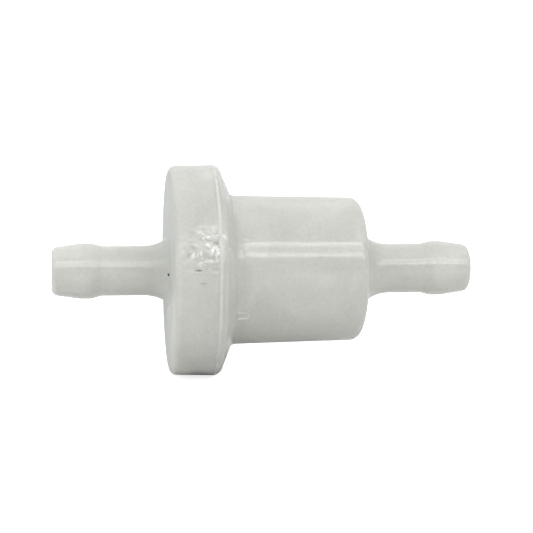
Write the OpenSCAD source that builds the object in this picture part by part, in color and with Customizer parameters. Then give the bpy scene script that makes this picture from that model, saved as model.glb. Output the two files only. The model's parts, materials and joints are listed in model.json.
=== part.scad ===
// In-line fuel filter for small engines: a spin-welded nylon housing with a hose
// nipple at each end, holding a flanged strainer basket lined with woven gauze.
// The axis of the filter lies along X, with the inlet towards -X. Millimetres.

/* [Housing] */
// Length from nipple tip to nipple tip
overall_length = 52; // [50:0.5:60]
// Diameter over the rim of the cap
rim_diameter = 26; // [25.6:0.1:28]
// Diameter of the barrel where it leaves the flange
barrel_diameter = 18.4; // [18.2:0.1:19]
// Amount that the barrel diameter shrinks towards its closed end
barrel_draft = 0.5; // [0:0.1:0.8]
// Wall thickness of the barrel and its end
barrel_wall = 1.5; // [1.3:0.1:1.7]
// Thickness of the cap's end disc
cap_wall = 1.6; // [1.4:0.1:1.8]

/* [Nipples] */
// Diameter of the straight shank that the hose grips
shank_diameter = 6.14; // [5.9:0.02:6.4]
// Diameter over the barb crest
crest_diameter = 6.8; // [6.5:0.1:7.1]
// Diameter at the tip, where its rounding ends
tip_diameter = 6; // [5.6:0.1:6.2]
// Diameter of the fuel passage
passage_diameter = 3.5; // [3:0.1:3.8]

/* [Strainer] */
// Outer diameter of the basket
basket_diameter = 12.4; // [12:0.1:13]
// Number of ribs along the basket
rib_count = 6; // [4:1:8]
// Width of each rib
rib_width = 0.9; // [0.7:0.1:1.2]
// Thickness of the gauze
gauze_thickness = 0.2; // [0.15:0.05:0.3]

/* [Hidden] */

// Radii
rim_r = rim_diameter / 2;
rim_draft = 0.12;
barrel_r = barrel_diameter / 2;
barrel_end_r = barrel_r - barrel_draft / 2;
chamber_r = barrel_r - barrel_wall;
chamber_end_r = barrel_end_r - barrel_wall;
shank_r = shank_diameter / 2;
crest_r = crest_diameter / 2;
tip_r = tip_diameter / 2;
passage_r = passage_diameter / 2;

// Places along X
tip_x = overall_length / 2;
cap_face_x = -11.7;
cap_inner_x = cap_face_x + cap_wall;
seam_x = -6.45;
spigot_x = -8.8;
seat_x = -5.8;
barrel_end_x = 12;
chamber_end_x = barrel_end_x - barrel_wall;

// Nipple, measured from its tip
tip_round = 0.8;
mouth_break = 0.2;
crest_start = 3.5;
crest_land = 1.3;
crest_fall = 1.2;
root_round = 5;
inlet_root_angle = 38;
outlet_root_angle = 52;

// Cap and flange corners
cap_corner = 0.8;
flange_corner = 1;
flange_foot_r = 9.55;
flange_foot_x = -4.3;
foot_run = 0.8;
barrel_corner = 1.25;

// Weld between skirt and spigot
skirt_inner_r = 11.4;
spigot_r = skirt_inner_r - 0.05;
bead_inner_r = 11;
bead_outer_r = 11.65;
bead_start_x = -8.1;
bead_end_x = -7.1;
flash_depth = 0.25;
flash_proud = 0.05;

// Clamp ring, gasket and strainer seat
pocket_r = 9.85;
clamp_inner_r = 8.4;
clamp_outer_r = 9.6;
gasket_inner_r = 8.3;
gasket_outer_r = 9.75;
gasket_thickness = 0.7;
flange_thickness = 1.2;
strainer_flange_r = 9.8;
flange_face_x = seat_x - flange_thickness;
clamp_x = flange_face_x - gasket_thickness;

// Basket
basket_r = basket_diameter / 2;
basket_wall = 0.9;
gauze_gap = 0.02;
basket_inner_r = basket_r - basket_wall;
gauze_outer_r = basket_inner_r - gauze_gap;
gauze_inner_r = gauze_outer_r - gauze_thickness;
collar_end_x = -4.3;
end_plate_x = 7.2;
end_plate_thickness = 0.8;
basket_end_x = end_plate_x + end_plate_thickness;
vent_count = 6;
vent_r = 1.1;
vent_pitch_r = 3.1;
hoop_count = 2;
hoop_width = 0.8;
seam_strip_width = 1.4;
seam_strip_thickness = 0.14;
seam_strip_angle = 30;

// Raised tab beside the flange, on the barrel
tab_length = 1.35;
tab_width = 0.9;
tab_proud = 0.22;
tab_x = -4.05;
tab_angle = 30.3;

steps = 8;
$fn = 96;

// Points of a nipple as [radius, distance from its tip], from tip to shank
function nipple_points() = concat(
    [[passage_r + mouth_break, 0]],
    [for (i = [0 : steps])
        let (a = 82 * i / steps)
        [tip_r - tip_round + tip_round * sin(a), tip_round * (1 - cos(a))]],
    [
        [crest_r, crest_start],
        [crest_r, crest_start + crest_land],
        [shank_r, crest_start + crest_land + crest_fall]
    ]
);

// Flare from shank to wall as [radius, distance from the wall], from shank to wall
function root_points(angle) = [for (i = [0 : steps])
    let (a = angle * i / steps)
    [shank_r + root_round * (1 - cos(a)), root_round * (sin(angle) - sin(a))]];

// Quarter arc about [r, x] from one angle to another, angle 0 along +radius
function arc_points(r, x, radius, from, to) = [for (i = [0 : steps])
    let (a = from + (to - from) * i / steps)
    [r + radius * cos(a), x + radius * sin(a)]];

function reversed(points) = [for (i = [len(points) - 1 : -1 : 0]) points[i]];

// A solid of revolution about X from a closed outline of [radius, x] points
module turned(points) {
    rotate([0, 90, 0])
        rotate_extrude()
            polygon(points);
}

// A plain ring about X
module ring(inner_r, outer_r, from_x, to_x) {
    turned([[inner_r, from_x], [outer_r, from_x], [outer_r, to_x], [inner_r, to_x]]);
}

// End half with the inlet nipple, the wide disc and the skirt that takes the body
module inlet_cap() {
    nose = [for (p = nipple_points()) [p[0], -tip_x + p[1]]];
    root = [for (p = root_points(inlet_root_angle)) [p[0], cap_face_x - p[1]]];
    corner = arc_points(
        rim_r - rim_draft - cap_corner, cap_face_x + cap_corner, cap_corner, -90, 0
    );
    color([0.84, 0.85, 0.81])
        turned(concat(nose, root, corner, [
            [rim_r, seam_x - flash_depth],
            [rim_r - flash_depth, seam_x],
            [skirt_inner_r, seam_x],
            [skirt_inner_r, bead_end_x],
            [bead_outer_r, bead_end_x],
            [bead_outer_r, bead_start_x],
            [skirt_inner_r, bead_start_x],
            [skirt_inner_r, cap_inner_x + 0.4],
            [skirt_inner_r - 0.4, cap_inner_x],
            [clamp_outer_r, cap_inner_x],
            [clamp_outer_r, clamp_x],
            [clamp_inner_r, clamp_x],
            [clamp_inner_r, cap_inner_x],
            [passage_r + 0.5, cap_inner_x],
            [passage_r, cap_inner_x - 0.5],
            [passage_r, -tip_x + mouth_break]
        ]));
}

// Barrel half with its flange, spigot and the outlet nipple
module outlet_body() {
    nose = [for (p = nipple_points()) [p[0], tip_x - p[1]]];
    root = [for (p = root_points(outlet_root_angle)) [p[0], barrel_end_x + p[1]]];
    rim_corner = arc_points(
        rim_r - flange_corner, seam_x + flash_depth, flange_corner, 0, 75
    );
    foot = [for (i = [0 : steps])
        let (a = 90 * i / steps)
        [
            flange_foot_r - (flange_foot_r - barrel_r) * sin(a),
            flange_foot_x + foot_run * (1 - cos(a))
        ]];
    end_corner = arc_points(
        barrel_end_r - barrel_corner, barrel_end_x - barrel_corner, barrel_corner, 0, 84
    );
    color([0.84, 0.85, 0.81])
        union() {
            turned(concat(
                [
                    [pocket_r, spigot_x],
                    [spigot_r - 0.3, spigot_x],
                    [spigot_r, spigot_x + 0.3],
                    [spigot_r, bead_start_x],
                    [bead_inner_r, bead_start_x],
                    [bead_inner_r, bead_end_x],
                    [spigot_r, bead_end_x],
                    [spigot_r, seam_x],
                    [rim_r - flash_depth, seam_x]
                ],
                rim_corner, foot, end_corner, reversed(root), reversed(nose),
                [
                    [passage_r, tip_x - mouth_break],
                    [passage_r, chamber_end_x + 0.5],
                    [passage_r + 0.5, chamber_end_x],
                    [chamber_end_r - 0.8, chamber_end_x],
                    [chamber_end_r, chamber_end_x - 0.8],
                    [chamber_r, seat_x],
                    [pocket_r, seat_x]
                ]
            ));
            rotate([tab_angle, 0, 0])
                translate([tab_x, -barrel_r - tab_proud, -tab_width / 2])
                    cube([tab_length, barrel_wall / 2 + tab_proud, tab_width]);
        }
}

// Ring of remelted plastic that fuses the spigot to the skirt
module weld_bead() {
    color([0.88, 0.88, 0.85])
        ring(bead_inner_r, bead_outer_r, bead_start_x, bead_end_x);
}

// Thin ring of plastic squeezed out of the seam, standing a little proud of the rim
module weld_flash() {
    color([0.9, 0.9, 0.87])
        turned([
            [rim_r - flash_depth, seam_x],
            [rim_r, seam_x - flash_depth],
            [rim_r + flash_proud, seam_x - flash_depth / 2],
            [rim_r + flash_proud, seam_x + flash_depth / 2],
            [rim_r, seam_x + flash_depth]
        ]);
}

// Moulded skeleton: clamped flange, collar, windowed wall and a drilled end plate
module strainer_frame() {
    bay = (end_plate_x - collar_end_x) / (hoop_count + 1);
    half_rib_angle = asin(rib_width / 2 / basket_inner_r);
    window_width = 2 * basket_inner_r * sin(180 / rib_count - half_rib_angle);
    color([0.93, 0.93, 0.9])
        difference() {
            turned([
                [basket_inner_r, flange_face_x],
                [strainer_flange_r, flange_face_x],
                [strainer_flange_r, seat_x],
                [basket_r, seat_x],
                [basket_r, basket_end_x],
                [0, basket_end_x],
                [0, end_plate_x],
                [basket_inner_r, end_plate_x]
            ]);
            for (i = [0 : rib_count - 1], j = [0 : hoop_count])
                rotate([360 * (i + 0.5) / rib_count, 0, 0])
                    translate([collar_end_x + bay * j + hoop_width / 2, -window_width / 2, 0])
                        cube([bay - hoop_width, window_width, basket_r + 1]);
            for (i = [0 : vent_count - 1])
                rotate([360 * i / vent_count, 0, 0])
                    translate([end_plate_x - 1, 0, vent_pitch_r])
                        rotate([0, 90, 0])
                            cylinder(r = vent_r, h = end_plate_thickness + 2);
        }
}

// Woven gauze rolled into a tube that lines the basket
module mesh_sleeve() {
    color([0.8, 0.81, 0.78])
        ring(gauze_inner_r, gauze_outer_r, flange_face_x, end_plate_x - gauze_gap);
}

// Welded strip over the lap of the rolled gauze
module mesh_seam() {
    outer = gauze_inner_r - gauze_gap / 2;
    color([0.88, 0.88, 0.84])
        rotate([seam_strip_angle, 0, 0])
            intersection() {
                ring(outer - seam_strip_thickness, outer,
                    flange_face_x + 0.3, end_plate_x - 0.4);
                translate([flange_face_x, -seam_strip_width / 2, 0])
                    cube([end_plate_x - flange_face_x, seam_strip_width, outer + 1]);
            }
}

// Gauze disc that closes the far end of the sleeve
module mesh_end_disc() {
    color([0.8, 0.81, 0.78])
        translate([end_plate_x - gauze_gap - gauze_thickness, 0, 0])
            rotate([0, 90, 0])
                cylinder(r = gauze_inner_r - gauze_gap, h = gauze_thickness);
}

// Flat fuel-proof ring pinched between the cap's clamp ring and the strainer flange
module flange_gasket() {
    color([0.16, 0.16, 0.17])
        ring(gasket_inner_r, gasket_outer_r, clamp_x, flange_face_x);
}

inlet_cap();
outlet_body();
weld_bead();
weld_flash();
strainer_frame();
mesh_sleeve();
mesh_seam();
mesh_end_disc();
flange_gasket();
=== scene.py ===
"""Looks of a milky nylon in-line fuel filter, built round its packed frame.

The filter lies along X, with the inlet nipple towards -X. A place on a turned surface is
given by x, by its radius r, and by its bearing phi about X: phi 0 faces -Y and phi 90 faces +Z.
"""
import json
import math

import bpy
import numpy as np
from mathutils import Matrix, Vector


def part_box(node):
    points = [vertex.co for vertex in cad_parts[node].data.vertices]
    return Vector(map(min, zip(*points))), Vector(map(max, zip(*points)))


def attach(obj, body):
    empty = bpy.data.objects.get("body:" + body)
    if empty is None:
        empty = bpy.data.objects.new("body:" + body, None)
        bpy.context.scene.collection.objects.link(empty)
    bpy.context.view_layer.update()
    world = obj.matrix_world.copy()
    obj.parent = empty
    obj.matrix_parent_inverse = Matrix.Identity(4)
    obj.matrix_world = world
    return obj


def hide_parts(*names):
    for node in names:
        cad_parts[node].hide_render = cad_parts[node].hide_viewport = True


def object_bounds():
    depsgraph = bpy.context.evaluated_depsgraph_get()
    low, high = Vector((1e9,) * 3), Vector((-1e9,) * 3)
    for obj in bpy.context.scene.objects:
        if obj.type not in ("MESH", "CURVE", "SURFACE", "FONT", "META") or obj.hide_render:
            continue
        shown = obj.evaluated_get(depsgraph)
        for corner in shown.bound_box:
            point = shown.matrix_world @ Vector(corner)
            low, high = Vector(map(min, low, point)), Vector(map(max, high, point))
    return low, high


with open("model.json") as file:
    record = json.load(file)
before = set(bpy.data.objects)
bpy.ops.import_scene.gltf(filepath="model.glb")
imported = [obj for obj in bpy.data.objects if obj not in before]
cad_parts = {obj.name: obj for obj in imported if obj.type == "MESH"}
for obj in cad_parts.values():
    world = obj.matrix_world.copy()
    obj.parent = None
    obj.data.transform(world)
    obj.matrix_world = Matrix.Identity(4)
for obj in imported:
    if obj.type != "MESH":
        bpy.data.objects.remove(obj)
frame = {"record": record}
CAD_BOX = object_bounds()

bl_info = {
    "name": "In-line fuel filter",
    "version": (1, 0, 0),
    "blender": (4, 5, 0),
    "location": "View3D > Sidebar > Fuel Filter",
    "description": "Builds a welded in-line fuel filter with its strainer, gauze and seal",
    "category": "Object",
}

BODY = "root"
MM = 0.001
RIM_RADIUS = 13 * MM
BEAD_BORE = 11.0 * MM
POCKET_RADIUS = 9.85 * MM
CLAMP_RING = (8.4 * MM, 9.6 * MM)
SEAL_BORE = 8.3 * MM
FLANGE_THICKNESS = 1.2 * MM
RECORD = frame["record"]
MOUNTS = {mount["name"]: mount for mount in RECORD["mounts"]}


def node_span(node):
    """Lowest x, highest x and outer radius of a CAD node, in metres."""
    low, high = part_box(node)
    return low[0], high[0], high[2]


def mount_size(name):
    """Radius and half length of a round mount, and its place along X, in metres."""
    mount = MOUNTS[name]
    half = mount["dims"]["length_mm"] * MM / 2
    return mount["dims"]["r_mm"] * MM, half, mount["pos_m"][0]


# ---------------------------------------------------------------- settings


def length(name, description, default):
    """A length property in metres, from a default in millimetres."""
    return bpy.props.FloatProperty(
        name=name, description=description, default=default * MM, unit="LENGTH", precision=5
    )


def colour(name, description, default):
    """A linear colour property."""
    return bpy.props.FloatVectorProperty(
        name=name, description=description, default=default, subtype="COLOR", size=3,
        min=0.0, max=1.0,
    )


def amount(name, description, default, low=0.0, high=1.0):
    """A plain number property."""
    return bpy.props.FloatProperty(
        name=name, description=description, default=default, min=low, max=high
    )


class HousingSettings(bpy.types.PropertyGroup):
    """Sizes of the two housing halves that the CAD boxes don't give."""

    cap_wall: length("Cap wall", "Thickness of the cap's end disc", 1.6)
    cap_face: length("Cap face", "Distance from the seam back to the cap's outer face", 5.25)
    cap_corner: length("Cap corner", "Radius where the end disc meets the rim", 0.8)
    rim_draft: length("Rim draft", "How much narrower the rim is at the cap's face", 0.12)
    flange_corner: length("Flange corner", "Radius of the flange's outer corner", 1.0)
    flange_foot: length("Flange foot radius", "Radius where the flange's cone ends", 9.5)
    foot_reach: length("Foot reach", "Distance from the seam to the end of the cone", 2.2)
    foot_run: length("Foot run", "Length of the shallow flare between cone and barrel", 0.8)
    barrel_radius: length("Barrel radius", "Radius of the barrel at its foot", 9.2)
    barrel_draft: length("Barrel draft", "How much narrower the barrel is at its end", 0.25)
    barrel_end: length("Barrel end", "Place of the barrel's closed end along X", 12.0)
    barrel_corner: length("Barrel corner", "Radius of the barrel's end corner", 1.25)
    barrel_wall: length("Barrel wall", "Thickness of the barrel and its end", 1.5)
    shank_radius: length("Shank radius", "Radius of the nipple's straight part", 3.07)
    tip_radius: length("Tip radius", "Radius of the nipple where its rounding ends", 3.0)
    tip_round: length("Tip rounding", "Radius of the rounding at the nipple's tip", 0.8)
    root_round: length("Root rounding", "Radius of the flare from shank to wall", 5.0)
    skirt_bore: length("Skirt bore", "Inner radius of the cap's skirt", 11.4)
    seam_gap: length("Seam groove", "Depth of the groove that the flash fills", 0.06)
    sag: length("Surface sag", "Height of the long ripples in the moulded surface", 0.006)


class StrainerSettings(bpy.types.PropertyGroup):
    """Sizes of the basket, the gauze and the seal."""

    wall: length("Basket wall", "Thickness of the basket's wall", 0.9)
    basket_radius: length("Basket radius", "Outer radius of the basket", 6.2)
    ribs: bpy.props.IntProperty(name="Ribs", description="Ribs round the basket", default=6)
    hoops: bpy.props.IntProperty(name="Hoops", description="Hoops between the ends", default=2)
    rib_width: length("Rib width", "Width of a rib at its inner face", 0.9)
    hoop_width: length("Hoop width", "Width of a hoop along the filter", 0.8)
    vents: bpy.props.IntProperty(name="Vents", description="Holes in the end plate", default=6)
    vent_radius: length("Vent radius", "Radius of a hole in the end plate", 1.1)
    vent_pitch: length("Vent pitch", "Radius of the circle that the holes lie on", 3.1)
    gauze_pitch: length("Gauze pitch", "Distance between neighbouring threads", 0.42)
    thread: length("Thread", "Diameter of a gauze thread", 0.1)


class FinishSettings(bpy.types.PropertyGroup):
    """Colours and surface quality."""

    nylon: colour("Nylon", "Milky colour of the housing", (0.582, 0.587, 0.548))
    nylon_cloud: colour("Nylon clouds", "Colour of the denser clouds", (0.492, 0.497, 0.460))
    # Painted light: paler colour for the nipples, standing in for light that shines through their thin
    # walls
    nipple_painted_glow: colour("Painted nipple glow", "Colour of the nipples, painted paler for light through their thin walls", (0.680, 0.690, 0.655))
    # Painted highlight: near-white colour of the glints painted on the rim's uneven patch
    white: colour("Painted glint colour", "Colour of painted glints on the rim's uneven patch", (0.86, 0.865, 0.84))
    weld: colour("Weld", "Colour of remelted nylon", (0.575, 0.582, 0.545))
    basket: colour("Basket", "Colour of the basket's nylon", (0.80, 0.80, 0.76))
    gauze: colour("Gauze", "Colour of the gauze", (0.74, 0.75, 0.70))
    rubber: colour("Rubber", "Colour of the seal", (0.022, 0.022, 0.024))
    # Colour of the dark specks, also used as painted shade along the two nicks in the rim
    speck_and_nick_shade: colour("Specks and nick shade", "Colour of specks and painted nick shade", (0.03, 0.028, 0.022))
    gloss: amount("Gloss roughness", "Roughness of the clean housing", 0.125)


class StageSettings(bpy.types.PropertyGroup):
    """Camera, lights and floor."""

    azimuth: amount("Azimuth", "Bearing of the camera, in degrees", -7.6, -180.0, 180.0)
    elevation: amount("Elevation", "Height of the camera, in degrees", 6.0, -90.0, 90.0)
    roll: amount("Roll", "Turn of the camera about its view, in degrees", -0.28, -10.0, 10.0)
    distance: length("Distance", "Distance from the camera to the filter", 192.0)
    view_width: length("View width", "Width that the camera sees at the filter", 66.3)
    right: amount("Right light", "Power of the soft light on the outlet side, in watts", 2.5, 0.0, 200.0)
    top: amount("Top light", "Power of the broad light overhead, in watts", 7.8, 0.0, 200.0)
    tubes: amount("Tube lights", "Power of each tube light, in watts", 3.9, 0.0, 200.0)
    panel: amount("Panel", "Power of the panel between the tubes, in watts", 2.0, 0.0, 200.0)
    back: amount("Back light", "Power of the soft light behind the filter, in watts", 2.5, 0.0, 200.0)
    side: amount("Side light", "Power of the cool light on the inlet side, in watts", 3.2, 0.0, 200.0)
    fill: amount("Fill", "Strength of the even light from all round", 0.2, 0.0, 10.0)
    floor: colour("Floor", "Colour of the floor and backdrop", (0.78, 0.78, 0.78))
    glow: amount("Floor glow", "Brightness added to the floor as it is seen", 0.8, 0.0, 2.0)


SETTINGS = {
    "filter_housing": HousingSettings,
    "filter_strainer": StrainerSettings,
    "filter_finish": FinishSettings,
    "filter_stage": StageSettings,
}


# ---------------------------------------------------------------- outlines


def arc(x, r, radius, start, end, steps=10):
    """Points (x, r) + radius * (sin a, cos a), with a from start to end degrees.

    Angle 0 points outwards along +r and angle 90 points along +x.
    """
    a = np.radians(np.linspace(start, end, steps + 1))
    return np.column_stack([x + radius * np.sin(a), r + radius * np.cos(a)])


def straight(start, end, spacing):
    """Evenly spaced points on the straight from start to end, both included."""
    start, end = np.asarray(start), np.asarray(end)
    steps = max(1, math.ceil(np.linalg.norm(end - start) / spacing))
    share = np.linspace(0.0, 1.0, steps + 1)[:, None]
    return start + (end - start) * share


def corners(points, spacing):
    """A chain of straights through the points."""
    return chain(*[straight(a, b, spacing) for a, b in zip(points[:-1], points[1:])])


def bend(start, middle, end, steps):
    """Curve (1-t)^2 start + 2t(1-t) middle + t^2 end, with t from 0 to 1."""
    t = np.linspace(0.0, 1.0, steps + 1)[:, None]
    a, b, c = (np.asarray(p) for p in (start, middle, end))
    return (1 - t) ** 2 * a + 2 * t * (1 - t) * b + t ** 2 * c


def ring_outline(low, high, inner, outer, edge=0.12 * MM):
    """Closed outline of a flat ring whose four edges are rounded off."""
    return chain(
        arc(low + edge, outer - edge, edge, -90, 0, 4),
        arc(high - edge, outer - edge, edge, 0, 90, 4),
        arc(high - edge, inner + edge, edge, 90, 180, 4),
        arc(low + edge, inner + edge, edge, 180, 270, 4),
    )[:-1]


def chain(*stretches):
    """Stretches joined end to end, without the points that they share."""
    points = np.vstack(stretches)
    step = np.linalg.norm(np.diff(points, axis=0), axis=1)
    return points[np.concatenate([[True], step > 1e-7])]


def softened(points, width):
    """The radius of each point replaced by its mean over neighbours within width.

    The weights fall off as a bell curve of the distance along the outline, and
    fade to none at both ends of the stretch, so that the ends stay where they are.
    """
    along = np.concatenate([[0], np.cumsum(np.linalg.norm(np.diff(points, axis=0), axis=1))])
    weight = np.exp(-((along[:, None] - along[None, :]) / width) ** 2)
    mean = (weight @ points[:, 1]) / weight.sum(axis=1)
    near_end = np.minimum(along, along[-1] - along)
    share = np.clip(near_end / (2 * width), 0.0, 1.0)
    radius = points[:, 1] * (1 - share) + mean * share
    return np.column_stack([points[:, 0], radius])


def nipple(s, mount):
    """Outline of a nipple from its bore to its shank, as distance from the tip and radius.

    It runs out over the rounded tip, up a shallow cone to the crest land and down
    a short fall to the shank, with every bend softened.
    """
    crest, half_land, place = mount_size(mount)
    bore = mount_size(mount.replace("hose_barb", "port"))[0]
    tip = CAD_BOX[1][0]
    land = tip - abs(place) - half_land
    mouth = 0.2 * MM
    fall = 1.2 * MM
    rounding = arc(s.tip_round, s.tip_radius - s.tip_round, s.tip_round, -90, -8, 12)
    cone = corners(
        [
            rounding[-1],
            (land, crest),
            (land + 2 * half_land, crest),
            (land + 2 * half_land + fall, s.shank_radius),
            (land + 2 * half_land + 2.5 * fall, s.shank_radius),
        ],
        0.12 * MM,
    )
    lip = arc(mouth, bore + mouth, mouth, -180, -90, 5)
    return chain(lip, rounding, softened(cone, 0.22 * MM))


def flare(s, angle, steps=18):
    """Flare from shank to wall as distance from the wall and radius: an arc of that angle."""
    a = np.radians(np.linspace(0, angle, steps + 1))
    away = s.root_round * (math.sin(math.radians(angle)) - np.sin(a))
    return np.column_stack([away, s.shank_radius + s.root_round * (1 - np.cos(a))])


def from_wall(points, wall, side):
    """Points given by their distance from a wall, placed on that side of it."""
    return np.column_stack([wall + side * points[:, 0], points[:, 1]])


def cap_outline(s):
    """Closed outline of the inlet half as (x, r), from its mouth outside and back inside."""
    low, seam, rim = node_span("inlet_cap")
    bore = mount_size("inlet_port")[0]
    bead = node_span("weld_bead")
    clamp_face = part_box("flange_gasket")[0][0]
    face = seam - s.cap_face
    inside = face + s.cap_wall
    nose = from_wall(nipple(s, "inlet_hose_barb"), low, 1)
    root = from_wall(flare(s, 38), face, -1)
    root_end = root[-1]
    root = root[root[:, 0] < face - 0.35 * MM]
    root = chain(root, bend(root[-1], root_end, (face, root_end[1] + 0.45 * MM), 8))
    rim_start = rim - s.rim_draft
    corner = arc(face + s.cap_corner, rim_start - s.cap_corner, s.cap_corner, -90, 0, 14)
    outside = chain(
        nose,
        straight(nose[-1], root[0], 0.25 * MM),
        root,
        straight(root[-1], corner[0], 0.3 * MM),
        corner,
        straight(corner[-1], (seam - s.seam_gap, rim), 0.09 * MM),
    )
    inner = corners(
        [
            (seam - s.seam_gap, rim),
            (seam, rim - s.seam_gap),
            (seam, s.skirt_bore),
            (bead[1], s.skirt_bore),
            (bead[1], bead[2]),
            (bead[0], bead[2]),
            (bead[0], s.skirt_bore),
            (inside + 0.4 * MM, s.skirt_bore),
            (inside, s.skirt_bore - 0.4 * MM),
            (inside, CLAMP_RING[1]),
            (clamp_face, CLAMP_RING[1]),
            (clamp_face, CLAMP_RING[0]),
            (inside, CLAMP_RING[0]),
            (inside, bore + 0.5 * MM),
            (inside - 0.5 * MM, bore),
            (low + 0.2 * MM, bore),
        ],
        0.7 * MM,
    )
    return chain(outside, inner)


def body_outline(s):
    """Closed outline of the outlet half as (x, r), from its spigot outside and back inside."""
    low, high, rim = node_span("outlet_body")
    seam = node_span("inlet_cap")[1]
    bead = node_span("weld_bead")
    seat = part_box("strainer_frame")[0][0] + FLANGE_THICKNESS
    bore = mount_size("outlet_port")[0]
    spigot = s.skirt_bore - 0.05 * MM
    end_radius = s.barrel_radius - s.barrel_draft
    spigot_side = corners(
        [
            (low, POCKET_RADIUS),
            (low, spigot - 0.3 * MM),
            (low + 0.3 * MM, spigot),
            (bead[0], spigot),
            (bead[0], BEAD_BORE),
            (bead[1], BEAD_BORE),
            (bead[1], spigot),
            (seam, spigot),
            (seam, rim - s.seam_gap),
        ],
        0.7 * MM,
    )
    corner = arc(seam + s.seam_gap, rim - s.flange_corner, s.flange_corner, 0, 75, 12)
    meet = np.array([seam + s.foot_reach, s.flange_foot])
    down = (corner[-1] - meet) / np.linalg.norm(corner[-1] - meet)
    flare_mid = meet + np.array([0.2 * MM, -0.2 * MM])
    flare_end = (meet[0] + s.foot_run, s.barrel_radius)
    ease = (flare_mid - meet) * 0.45
    foot = chain(
        bend(meet + down * 0.25 * MM, meet, meet + ease, 8),
        bend(meet + ease, flare_mid, flare_end, 14),
    )
    tab_low, tab_high = tab_span()
    end_corner = arc(
        s.barrel_end - s.barrel_corner, end_radius - s.barrel_corner, s.barrel_corner, 0, 84, 16
    )
    slope = (end_corner[0] - foot[-1])[1] / (end_corner[0] - foot[-1])[0]

    def on_barrel(x):
        return (x, foot[-1][1] + slope * (x - foot[-1][0]))

    root = from_wall(flare(s, 52), s.barrel_end, 1)[::-1]
    nose = from_wall(nipple(s, "outlet_hose_barb"), high, -1)[::-1]
    fine_end = tab_high + 0.2 * MM
    outside = chain(
        corner,
        straight(corner[-1], foot[0], 0.15 * MM),
        foot,
        straight(foot[-1], on_barrel(fine_end), 0.05 * MM),
        straight(on_barrel(fine_end), end_corner[0], 0.33 * MM),
        end_corner,
        straight(end_corner[-1], root[0], 0.3 * MM),
        root,
        straight(root[-1], nose[0], 0.3 * MM),
        nose,
    )
    chamber_end = s.barrel_end - s.barrel_wall
    chamber_radius = end_radius - s.barrel_wall
    inner = corners(
        [
            (high - 0.2 * MM, bore),
            (chamber_end + 0.5 * MM, bore),
            (chamber_end, bore + 0.5 * MM),
            (chamber_end, chamber_radius - 0.8 * MM),
            (chamber_end - 0.8 * MM, chamber_radius),
            (seat, s.barrel_radius - s.barrel_wall),
            (seat, POCKET_RADIUS),
            (low, POCKET_RADIUS),
        ],
        0.9 * MM,
    )
    return chain(spigot_side, outside, inner)


# ---------------------------------------------------------------- surface relief

VIEW_BEARING = 6.0
TAB_BEARING = -30.3
SCAR_BEARING = VIEW_BEARING + 11.5


def tab_span():
    """Where the small raised tab starts and ends along X."""
    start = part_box("outlet_body")[0][0] + 4.75 * MM
    return start, start + 1.35 * MM


def step(value, low, high):
    """Smooth step: 0 below low, 1 above high, and 3t^2 - 2t^3 in between."""
    t = np.clip((value - low) / (high - low), 0.0, 1.0)
    return t * t * (3 - 2 * t)


def ripple(x, phi, height):
    """Long low ripples of a moulded wall: a sum of waves along x and round the axis."""
    waves = [
        (2.1, 2, 0.3, 0.40), (3.7, 5, 1.9, 0.30), (5.3, 3, 4.0, 0.22),
        (8.9, 9, 2.2, 0.12), (13.1, 14, 5.1, 0.07), (19.7, 6, 0.8, 0.05),
    ]
    total = np.zeros(np.broadcast(x, phi).shape)
    for cycles, lobes, phase, share in waves:
        total += share * np.sin(2 * np.pi * cycles * x / (25 * MM) + lobes * phi + phase)
        total += share * 0.5 * np.cos(lobes * phi - phase + 40 * x / (25 * MM))
    return height * total


def bump(x, phi, radius, place, bearing, half_length, half_width):
    """Bell-shaped bump about one place: exp of minus the squared distance in half sizes."""
    along = (x - place) / half_length
    round_axis = (phi - math.radians(bearing)) * radius / half_width
    return np.exp(-(along ** 2 + round_axis ** 2))


def scar(x, phi, radius, seam):
    """Uneven patch on the rim: many small bumps and dents inside a soft oval window."""
    centre = seam - 1.3 * MM
    window = bump(x, phi, radius, centre, SCAR_BEARING, 3.2 * MM, 2.5 * MM)
    draw = np.random.default_rng(11)
    total = np.zeros(window.shape)
    for _ in range(230):
        place = centre + draw.normal(0, 1.9) * MM
        bearing = SCAR_BEARING + math.degrees(draw.normal(0, 1.7) * MM / radius)
        size = draw.uniform(0.15, 0.40) * MM
        stretch = draw.uniform(0.7, 2.2)
        height = draw.normal(0, 0.32) * size
        total += height * bump(x, phi, radius, place, bearing, size * stretch, size)
    return total * np.clip(window * 1.5, 0, 1)


def nicks(x, phi, radius, seam):
    """Two short narrow cuts along X in the rim, as (distance before seam, bearing, depth)."""
    cuts = [(2.7, -0.2, 0.13, 0.40), (2.15, -7.0, 0.08, 0.34)]
    total = 0.0
    for before, bearing, depth, half in cuts:
        place = seam - before * MM
        total = total - depth * MM * bump(
            x, phi, radius, place, VIEW_BEARING + bearing, half * MM, 0.09 * MM
        )
    return total


def tab_relief(x, phi, radius):
    """The raised tab: a low flat block with a thin rounded ridge along each long edge."""
    start, end = tab_span()
    edge = 0.12 * MM
    across = (phi - math.radians(TAB_BEARING)) * radius
    along = step(x, start - edge, start + edge) * (1 - step(x, end - edge, end + edge))
    block = 1 - step(np.abs(across), 0.42 * MM, 0.54 * MM)
    ridges = sum(np.exp(-((across - side * 0.41 * MM) / (0.075 * MM)) ** 2) for side in (-1, 1))
    return along * (0.06 * MM * block + 0.17 * MM * ridges)


# ---------------------------------------------------------------- meshes


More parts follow.
